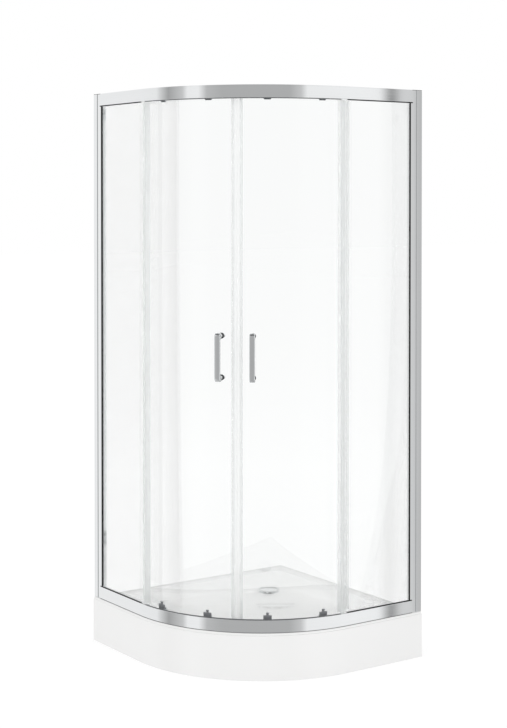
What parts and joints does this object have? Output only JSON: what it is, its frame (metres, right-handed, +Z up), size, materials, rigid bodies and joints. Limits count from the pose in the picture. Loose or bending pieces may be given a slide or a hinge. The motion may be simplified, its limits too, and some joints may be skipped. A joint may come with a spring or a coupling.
{
  "type": "quadrant shower enclosure",
  "caption": "Corner shower with a rounded white tray, flat side panes and bent glass doors that roll on curved chrome rails.",
  "frame": {"origin": "on the floor, under the middle of the square that the tray fills", "axes": "+Z up; the walls stand at +X and +Y, and the rounded front points to -X -Y"},
  "size_m": [0.9, 0.9, 2.12],
  "materials": {
    "white_acrylic": "glossy sanitary acrylic",
    "chrome": "polished chrome",
    "bright_aluminium": "polished, anodised extrusion",
    "clear_glass": "clear toughened glass",
    "clear_profile": "clear soft extrusion",
    "black_rubber": "matt black gasket",
    "grey_strip": "grey cover strip",
    "dark_plastic": "moulded dark grey",
    "white_nylon": "moulded nylon",
    "white_pipe": "moulded waste fitting",
    "zinc_steel": "zinc-plated steel"
  },
  "bodies": {
    "enclosure": {"tray_shell": "white_acrylic", "tray_apron": "white_acrylic", "leg_sockets": "dark_plastic", "tray_legs": "zinc_steel", "waste_flange": "chrome", "waste_seal": "black_rubber", "waste_body": "white_pipe", "bottom_rail": "bright_aluminium", "top_rail": "bright_aluminium", "rail_gaskets": "black_rubber", "pocket_covers": "grey_strip", "setting_blocks": "black_rubber", "rail_brackets": "dark_plastic", "door_stops": "black_rubber", "profile_caps": "dark_plastic", "lock_screws": "zinc_steel", "left_wall_profile": "bright_aluminium", "left_side_profile": "bright_aluminium", "left_fixed_pane": "clear_glass", "left_post_gasket": "black_rubber", "left_edge_profile": "clear_profile", "right_wall_profile": "bright_aluminium", "right_side_profile": "bright_aluminium", "right_fixed_pane": "clear_glass", "right_post_gasket": "black_rubber", "right_edge_profile": "clear_profile"},
    "drain_cover": {"waste_cover": "chrome"},
    "left_door": {"left_door_glass": "clear_glass", "left_magnet_seal": "clear_profile", "left_rear_seal": "clear_profile", "left_handle": "chrome", "left_handle_rings": "dark_plastic", "left_handle_caps": "chrome", "left_roller_carriers": "dark_plastic", "left_clamp_plates": "chrome", "left_door_bolts": "zinc_steel", "left_release_springs": "zinc_steel"},
    "left_rear_slider": {"left_rear_slider": "dark_plastic"},
    "left_rear_top_wheel": {"left_rear_top_wheel": "white_nylon"},
    "left_rear_bottom_wheel": {"left_rear_bottom_wheel": "white_nylon"},
    "left_front_slider": {"left_front_slider": "dark_plastic"},
    "left_front_top_wheel": {"left_front_top_wheel": "white_nylon"},
    "left_front_bottom_wheel": {"left_front_bottom_wheel": "white_nylon"},
    "right_door": {"right_door_glass": "clear_glass", "right_magnet_seal": "clear_profile", "right_rear_seal": "clear_profile", "right_handle": "chrome", "right_handle_rings": "dark_plastic", "right_handle_caps": "chrome", "right_roller_carriers": "dark_plastic", "right_clamp_plates": "chrome", "right_door_bolts": "zinc_steel", "right_release_springs": "zinc_steel"},
    "right_rear_slider": {"right_rear_slider": "dark_plastic"},
    "right_rear_top_wheel": {"right_rear_top_wheel": "white_nylon"},
    "right_rear_bottom_wheel": {"right_rear_bottom_wheel": "white_nylon"},
    "right_front_slider": {"right_front_slider": "dark_plastic"},
    "right_front_top_wheel": {"right_front_top_wheel": "white_nylon"},
    "right_front_bottom_wheel": {"right_front_bottom_wheel": "white_nylon"}
  },
  "joints": [
    {"name": "drain_cover_lift", "type": "slide", "parent": "enclosure", "child": "drain_cover", "axis": [0, 0, 1], "range_m": [0, 0.06]},
    {"name": "left_door_roll", "type": "hinge", "parent": "enclosure", "child": "left_door", "pos_m": [0.248, 0.143, 0.17], "axis": [0, 0, 1], "range_deg": [-19.55, 0]},
    {"name": "left_rear_release", "type": "slide", "parent": "left_door", "child": "left_rear_slider", "axis": [0, 0, 1], "range_m": [-0.005, 0], "stiffness_N_per_m": 600, "springref_m": 0.008, "deforming": ["left_release_springs"]},
    {"name": "left_rear_top_wheel_spin", "type": "hinge", "parent": "left_door", "child": "left_rear_top_wheel", "pos_m": [-0.41753, 0.01988, 2.09365], "axis": [-0.9882, -0.153, 0], "range_deg": [0, 1151.76]},
    {"name": "left_rear_bottom_wheel_spin", "type": "hinge", "parent": "left_rear_slider", "child": "left_rear_bottom_wheel", "pos_m": [-0.41753, 0.01988, 0.19635], "axis": [-0.9882, -0.153, 0], "range_deg": [-1151.76, 0]},
    {"name": "left_front_release", "type": "slide", "parent": "left_door", "child": "left_front_slider", "axis": [0, 0, 1], "range_m": [-0.005, 0], "stiffness_N_per_m": 600, "springref_m": 0.008, "deforming": ["left_release_springs"]},
    {"name": "left_front_top_wheel_spin", "type": "hinge", "parent": "left_door", "child": "left_front_top_wheel", "pos_m": [-0.34168, -0.18138, 2.09365], "axis": [-0.8434, -0.5373, 0], "range_deg": [0, 1145.27]},
    {"name": "left_front_bottom_wheel_spin", "type": "hinge", "parent": "left_front_slider", "child": "left_front_bottom_wheel", "pos_m": [-0.34168, -0.18138, 0.19635], "axis": [-0.8434, -0.5373, 0], "range_deg": [-1145.27, 0]},
    {"name": "right_door_roll", "type": "hinge", "parent": "enclosure", "child": "right_door", "pos_m": [0.143, 0.248, 0.17], "axis": [0, 0, 1], "range_deg": [0, 19.55]},
    {"name": "right_rear_release", "type": "slide", "parent": "right_door", "child": "right_rear_slider", "axis": [0, 0, 1], "range_m": [-0.005, 0], "stiffness_N_per_m": 600, "springref_m": 0.008, "deforming": ["right_release_springs"]},
    {"name": "right_rear_top_wheel_spin", "type": "hinge", "parent": "right_door", "child": "right_rear_top_wheel", "pos_m": [0.01988, -0.41753, 2.09365], "axis": [-0.153, -0.9882, 0], "range_deg": [-1151.76, 0]},
    {"name": "right_rear_bottom_wheel_spin", "type": "hinge", "parent": "right_rear_slider", "child": "right_rear_bottom_wheel", "pos_m": [0.01988, -0.41753, 0.19635], "axis": [-0.153, -0.9882, 0], "range_deg": [0, 1151.76]},
    {"name": "right_front_release", "type": "slide", "parent": "right_door", "child": "right_front_slider", "axis": [0, 0, 1], "range_m": [-0.005, 0], "stiffness_N_per_m": 600, "springref_m": 0.008, "deforming": ["right_release_springs"]},
    {"name": "right_front_top_wheel_spin", "type": "hinge", "parent": "right_door", "child": "right_front_top_wheel", "pos_m": [-0.18138, -0.34168, 2.09365], "axis": [-0.5373, -0.8434, 0], "range_deg": [-1145.27, 0]},
    {"name": "right_front_bottom_wheel_spin", "type": "hinge", "parent": "right_front_slider", "child": "right_front_bottom_wheel", "pos_m": [-0.18138, -0.34168, 0.19635], "axis": [-0.5373, -0.8434, 0], "range_deg": [0, 1145.27]}
  ],
  "couplings": [
    {"joint": "left_rear_top_wheel_spin", "follows": "left_door_roll", "ratio": -58.855},
    {"joint": "left_rear_bottom_wheel_spin", "follows": "left_door_roll", "ratio": 58.855},
    {"joint": "left_front_top_wheel_spin", "follows": "left_door_roll", "ratio": -58.523},
    {"joint": "left_front_bottom_wheel_spin", "follows": "left_door_roll", "ratio": 58.523},
    {"joint": "right_rear_top_wheel_spin", "follows": "right_door_roll", "ratio": -58.855},
    {"joint": "right_rear_bottom_wheel_spin", "follows": "right_door_roll", "ratio": 58.855},
    {"joint": "right_front_top_wheel_spin", "follows": "right_door_roll", "ratio": -58.523},
    {"joint": "right_front_bottom_wheel_spin", "follows": "right_door_roll", "ratio": 58.523}
  ]
}
